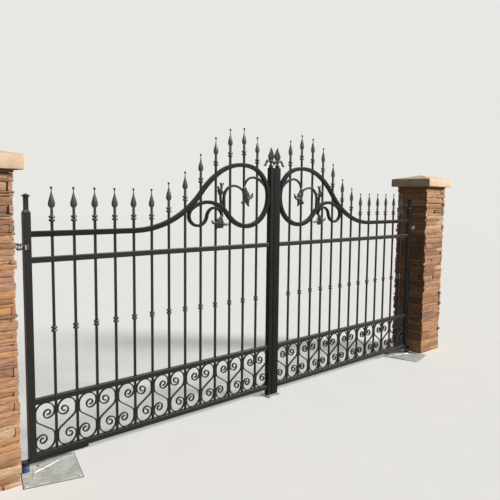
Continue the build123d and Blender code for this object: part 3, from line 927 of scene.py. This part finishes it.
# Upper hinge
ROD_START, WASHER_X, NUT_X, COLLAR_X, ROD_END = 60, 166, 176, 212, 214
THREAD_SIDES, THREAD_CORE, THREAD_CREST, THREAD_LEAD = 16, 7.0, 8.4, 2.5
EYE_SIDES, BOLT_REACH, PIN_X = 32, 16, 267
FORK_RADIUS, FORK_FEET = 15, (10.5, -16.5)


def along_rod(shape, start_x, profile, sides=20):
    """A solid about the line of the hinge rod, from (radius, distance) pairs."""
    add_rings(shape, [
        [(start_x + run, LINE_Y + a, HINGE_Z + b) for a, b in circle(radius, sides)] for radius, run in profile
    ])


def add_thread(shape):
    """The threaded rod, as one winding ridge on its core."""
    rows = int((ROD_END - ROD_START) / (THREAD_LEAD / 4))
    rings = []
    for k in range(rows + 1):
        x = ROD_START + (ROD_END - ROD_START) * k / rows
        ring = []
        for i in range(THREAD_SIDES):
            turn = tau * i / THREAD_SIDES
            phase = (x / THREAD_LEAD + i / THREAD_SIDES) % 1.0
            radius = THREAD_CORE + (THREAD_CREST - THREAD_CORE) * (1 - abs(2 * phase - 1))
            ring.append((x, LINE_Y + radius * cos(turn), HINGE_Z + radius * sin(turn)))
        rings.append(ring)
    add_rings(shape, rings)


def half_round(radius, steps, z):
    """Half a circle about the hinge line, on the side of the pier."""
    turns = [radians(90 + 180 * i / steps) for i in range(steps + 1)]
    return [(AXIS_X + radius * cos(t), LINE_Y + radius * sin(t), z) for t in turns]


def build_hinge():
    """Rod with washer, nut and eye, the bolt through it, and the fork with its bracket and pin."""
    shape = Shape()
    add_thread(shape)
    along_rod(shape, WASHER_X, [(8, 0), (19, 0), (19.6, 0.8), (19.6, 2.4), (19, 3), (8, 3)], 24)
    along_rod(shape, NUT_X, [(8, 0), (15, 0), (16.4, 1), (16.4, 12), (15, 13), (8, 13)], 6)
    eye = []
    for radius, z in ((8.4, -9), (12.6, -9), (13.6, -8), (13.6, 8), (12.6, 9), (8.4, 9)):
        eye.append([(AXIS_X + a, LINE_Y + b, HINGE_Z + z) for a, b in circle(radius, EYE_SIDES)])
    add_rings(shape, eye, closed=True)
    along_rod(shape, COLLAR_X, [(8.4, 0), (9.2, 1), (9.2, 14), (8.4, 15)])
    make_pair("hinge_threaded_rod", shape, [zinc], "hinge_rod", fixed=True, sharp=30)
    shape = Shape()
    upright(shape, (AXIS_X, LINE_Y, HINGE_Z), [(8, -BOLT_REACH), (8, BOLT_REACH)])
    head = [(8.6, 0), (9.4, 0.4), (10, 1.5), (10, 4.5), (9.2, 6), (7.6, 7)]
    upright(shape, (AXIS_X, LINE_Y, HINGE_Z + BOLT_REACH), head, sides=6)
    foot = [(radius, -z) for radius, z in reversed(head)]
    upright(shape, (AXIS_X, LINE_Y, HINGE_Z - BOLT_REACH), foot, sides=6)
    pin = [(3, -17), (3.8, -16), (3.8, 2), (5, 2.6), (5, 6), (3.6, 7)]
    upright(shape, (PIN_X, LINE_Y - 30, HINGE_Z), pin, sides=16)
    make_pair("hinge_hex_bolt", shape, [zinc], "hinge_bolt", sharp=30)
    shape = Shape()
    for foot in FORK_FEET:
        z = HINGE_Z + foot
        rings = []
        for inset, level in ((0.8, z), (0, z + 0.8), (0, z + 5.2), (0.8, z + 6)):
            half = FORK_RADIUS - inset
            corners = [(LEFT_X, LINE_Y - half, level), (LEFT_X, LINE_Y + half, level)]
            rings.append(half_round(half, 16, level) + corners)
        add_rings(shape, rings, 1)
    tube_box(shape, (260, LINE_Y - 26, HINGE_Z - 16), (286, LINE_Y - 19.5, HINGE_Z + 10), 1.5, slot=1, axis=2)
    # The upper fork plate takes the light weld grey, a painted highlight on the fork's top; the lower plate
    # takes the bracket grey.
    for foot, front, slot in zip(FORK_FEET, (30, 28), (2, 1)):
        low, high = (242, LINE_Y - front, HINGE_Z + foot), (287, LINE_Y - 15, HINGE_Z + foot + 2.5)
        tube_box(shape, low, high, 1, slot=slot)
    rng = random.Random(5)
    for i in range(8):
        add_weld(shape, rng, (286.5, LINE_Y - 21, HINGE_Z - 15 + 3.2 * i), (2.4, 2.4, 3))
    make_pair("hinge_fork", shape, [paint, bracket_paint, light_weld_and_highlight_paint], "hinge_clevis", sharp=30)


def add_crease(shape, place, start, end, width, height):
    """A low fold pressed up along a line of the cover, fading out at both ends."""
    run = hypot(end[0] - start[0], end[1] - start[1])
    side = (-(end[1] - start[1]) / run * width / 2, (end[0] - start[0]) / run * width / 2)
    rings = []
    for k in range(9):
        share = k / 8
        u = start[0] + (end[0] - start[0]) * share
        v = start[1] + (end[1] - start[1]) * share
        fade = 0.15 + 0.85 * sin(pi * share) ** 0.5
        rings.append([
            place(u - side[0] * fade, v - side[1] * fade, COVER_LIP),
            place(u - side[0] * 0.3, v - side[1] * 0.3, COVER_TOP + height * fade),
            place(u + side[0] * 0.1, v + side[1] * 0.1, COVER_TOP + height * fade * 0.9),
            place(u + side[0] * fade, v + side[1] * fade, COVER_LIP),
        ])
    add_rings(shape, rings)


# Drive: shoe under the leaf and cover on the ground
SHOE_RADIUS, SHOE_HALF, SHOE_END = 25, 20, 627
COVER_SKEW = radians(-14.8)
COVER_WIDTH, COVER_DEPTH = 318, 335
COVER_LEFT, COVER_FRONT = -22, -199
COVER_TOP, COVER_LIP = 5.0, 4.6
COVER_GRID = 12
# Widths of the painted shade band round the cover's foot: at the sides and back, and at the front.
COVER_SHADE_BAND, FRONT_SHADE_BAND = 4, 5
# Folds of the cover: start, end, width and height
CREASES = (
    ((44, -38), (205, 71), 22, 7), ((52, 45), (34, -137), 7, 2.4), ((-18, -65), (28, -65), 6, 2),
    ((40, 96), (288, 96), 9, 3),
)


def build_shoe():
    """Shoe and spindle under the leaf, with two screws."""
    shape = Shape()
    foot = BOTTOM_Z - RAIL / 2
    rings = []
    for inset, z in ((1, foot - 16), (0, foot - 15), (0, foot - 0.2)):
        half, end = SHOE_HALF - inset, SHOE_END - inset
        corners = [(AXIS_X, -half), (end, -half), (end, half), (AXIS_X, half)]
        rings.append(half_round(SHOE_RADIUS - inset, 12, z) + [(x, LINE_Y + y, z) for x, y in corners])
    add_rings(shape, rings)
    upright(shape, (AXIS_X, LINE_Y, 0), [(13, 43.4), (13, foot)])
    for x in (340, 590):
        upright(shape, (x, LINE_Y - 6, foot), [(8, -22), (9, -21), (9, -16), (9, -15)], sides=6)
    make_pair("drive_shoe_bar", shape, [paint], "drive_shoe", sharp=30)


def build_drive():
    """Bent steel cover with its folds and screws on the ground, and the hub that turns in it."""
    shape = Shape()

    def place(u, v, z):
        x = AXIS_X + u * cos(COVER_SKEW) - v * sin(COVER_SKEW)
        return x, LINE_Y + u * sin(COVER_SKEW) + v * cos(COVER_SKEW), z

    verts = []
    for j in range(COVER_GRID + 1):
        for i in range(COVER_GRID + 1):
            u = COVER_LEFT + COVER_WIDTH * i / COVER_GRID
            v = COVER_FRONT + COVER_DEPTH * j / COVER_GRID
            z = COVER_TOP + 0.35 * noise.noise(Vector((u, v, 0)) * 0.012)
            verts.append(place(u, v, z - (0.8 if i in (0, COVER_GRID) or j in (0, COVER_GRID) else 0)))
    faces, rim = grid(COVER_GRID, COVER_GRID)
    start = len(verts)
    verts += [(verts[i][0], verts[i][1], 0.0) for i in rim]
    for k in range(len(rim)):
        following = (k + 1) % len(rim)
        faces.append((rim[k], rim[following], start + following, start + k))
    faces.append(tuple(range(start, start + len(rim))))
    shape.add(verts, faces)
    for crease in CREASES:
        add_crease(shape, place, *crease)
    for u, v in ((-8, -184), (280, -184), (280, 120), (75, 44)):
        spot = place(u, v, 0)
        screw = [(8, COVER_LIP), (8, 5.4), (6.5, 7.4), (3, 8.4)]
        upright(shape, spot, screw, sides=16, slot=1 if u == 75 else 0)
        upright(shape, spot, [(2.4, 8.0), (2.4, 8.5)], sides=6, slot=1)
    # A thin dark sheet of paint just wider than the cover, on the ground round its foot: painted shade along the
    # cover's edges.
    left, right = COVER_LEFT - COVER_SHADE_BAND, COVER_LEFT + COVER_WIDTH + COVER_SHADE_BAND
    front, back = COVER_FRONT - FRONT_SHADE_BAND, COVER_FRONT + COVER_DEPTH + COVER_SHADE_BAND
    rim = [(left, front), (right, front), (right, back), (left, back)]
    add_rings(shape, [[place(u, v, z) for u, v in rim] for z in (0.1, 1.2)], 1)
    materials = [galvanised, paint]
    make_pair("drive_cover_plate", shape, materials, "drive_cover", fixed=True, sharp=25)
    shape = Shape()
    profile = [(26, 5), (26, 8), (24.6, 9), (24.6, 12), (25, 13), (25, 40), (24, 42), (21, 43), (14, 43)]
    upright(shape, (AXIS_X, LINE_Y, 0), profile, sides=32)
    make_pair("drive_hub_turning", shape, [hub_zinc], fixed=True, sharp=30)


def build_centre_stop():
    """Ground plate with its lug, two anchor bolts and fillet welds."""
    shape = Shape()
    tube_box(shape, (CENTRE_X - 65, LINE_Y - 55, 0), (CENTRE_X + 65, LINE_Y + 55, 8), 1.5)
    tube_box(shape, (CENTRE_X - 35, LINE_Y + 20.5, 2), (CENTRE_X + 35, LINE_Y + 28.5, 42), 1.5)
    rng = random.Random(4)
    for i in range(12):
        add_weld(shape, rng, (CENTRE_X - 33 + 6 * i, LINE_Y + 30, 9), (4, 3, 2.4))
    for side in (-1, 1):
        upright(shape, (CENTRE_X + side * 50, LINE_Y - 38, 0), [(9, 8), (9.4, 8.4), (9.4, 13), (8, 14)], sides=6)
    make_piece("centre_stop_plate", shape, [galvanised], "posts", ["centre_stop"], sharp=30)


# Strengths of the sky, the key light and the floor's glow, and the pale surround
SKY = 0.125
KEY = 4.6
BACKDROP = (232, 231, 228)
FLOOR_GLOW = 0.4
FLOOR_REACH = 40


def plainly_seen(tree):
    """1 for what the camera sees, straight or in metal and glass, and 0 for light that spreads."""
    path = tree.nodes.new("ShaderNodeLightPath")
    seen = path.outputs["Is Camera Ray"]
    for ray in ("Is Glossy Ray", "Is Transmission Ray"):
        larger = tree.nodes.new("ShaderNodeMath")
        larger.operation = "MAXIMUM"
        tree.links.new(seen, larger.inputs[0])
        tree.links.new(path.outputs[ray], larger.inputs[1])
        seen = larger.outputs[0]
    return seen


def floor_material():
    """A pale floor that keeps shadows and throws little light back up."""
    n = Nodes("pale_floor")
    colour = n.clouds(3, 4, (0.3, srgb(203, 202, 199)), (0.7, srgb(207, 206, 203)))
    seen = plainly_seen(n.tree)
    colour = n.mix(seen, srgb(96, 94, 90), colour)
    n.feed(n.shader, {"Emission Color": srgb(*BACKDROP), "Emission Strength": n.times(seen, FLOOR_GLOW)})
    rough = n.roughness(20, 3, 0.8, 0.9)
    return n.finish(colour, rough, n.bump(n.noise(90, 3), 0.05, 0.0005), specular=0.1)


def build_stage():
    """The floor."""
    mesh = bpy.data.meshes.new("floor")
    far = FLOOR_REACH
    mesh.from_pydata([(-far, -far, 0), (far, -far, 0), (far, far, 0), (-far, far, 0)], [], [(0, 1, 2, 3)])
    mesh.materials.append(floor_material())
    floor = new_object("floor", mesh)


def build_light():
    """A soft key from the right of the yard, a weak even sky and a pale surround."""
    world = bpy.data.worlds.new("soft_surround")
    scene.world = world
    world.use_nodes = True
    tree = world.node_tree
    output = tree.nodes["World Output"]
    light, seen = tree.nodes["Background"], tree.nodes.new("ShaderNodeBackground")
    for node, colour, strength in ((light, (0.93, 0.96, 1.0, 1), SKY), (seen, srgb(*BACKDROP), 1.0)):
        node.inputs["Color"].default_value = colour
        node.inputs["Strength"].default_value = strength
    mixed = tree.nodes.new("ShaderNodeMixShader")
    tree.links.new(plainly_seen(tree), mixed.inputs["Fac"])
    tree.links.new(light.outputs["Background"], mixed.inputs[1])
    tree.links.new(seen.outputs["Background"], mixed.inputs[2])
    tree.links.new(mixed.outputs["Shader"], output.inputs["Surface"])
    lamp = bpy.data.lights.new("key_light", "SUN")
    lamp.energy = KEY
    lamp.angle = radians(14)
    lamp.color = (1.0, 0.975, 0.94)
    aim = Vector((-0.62, 0.62, -0.42))
    new_object("key_light", lamp).rotation_euler = aim.to_track_quat("-Z", "Y").to_euler()


# Camera: place in metres, angles in degrees
CAMERA_PLACE = (-0.8509, -3.2163, 1.6081)
CAMERA_YAW, CAMERA_PITCH, CAMERA_ROLL = 41.752, 5.340, 0.614
FOCAL_PIXELS = 553.04
IMAGE_WIDTH = 500
SENSOR = 36


def build_camera():
    """The picture's point of view: yaw from +Y towards +X, pitch downwards."""
    yaw, pitch, roll = (radians(a) for a in (CAMERA_YAW, CAMERA_PITCH, CAMERA_ROLL))
    forward = Vector((sin(yaw) * cos(pitch), cos(yaw) * cos(pitch), -sin(pitch)))
    level = Vector((cos(yaw), -sin(yaw), 0))
    up = level.cross(forward)
    right = cos(roll) * level + sin(roll) * up
    top = -sin(roll) * level + cos(roll) * up
    data = bpy.data.cameras.new("camera")
    data.sensor_fit = "HORIZONTAL"
    data.sensor_width = SENSOR
    data.lens = FOCAL_PIXELS / IMAGE_WIDTH * SENSOR
    data.clip_end = 200
    camera = new_object("camera", data)
    axes = Matrix((right, top, -forward)).transposed()
    camera.matrix_world = Matrix.Translation(CAMERA_PLACE) @ axes.to_4x4()
    scene.camera = camera


build_pier("left", 0, 21)
build_pier("right", 2 * CENTRE_X, 34)
build_cap("left", 0)
build_cap("right", 2 * CENTRE_X)
build_frame_bars()
build_stile_caps()
build_spearheads()
build_bar_rings()
build_s_scrolls()
build_top_scroll()
build_leaves()
build_finial()
build_welds()
build_hinge()
build_shoe()
build_drive()
build_centre_stop()
build_stage()
build_light()
build_camera()

bpy.context.scene.view_settings.view_transform = "Standard"
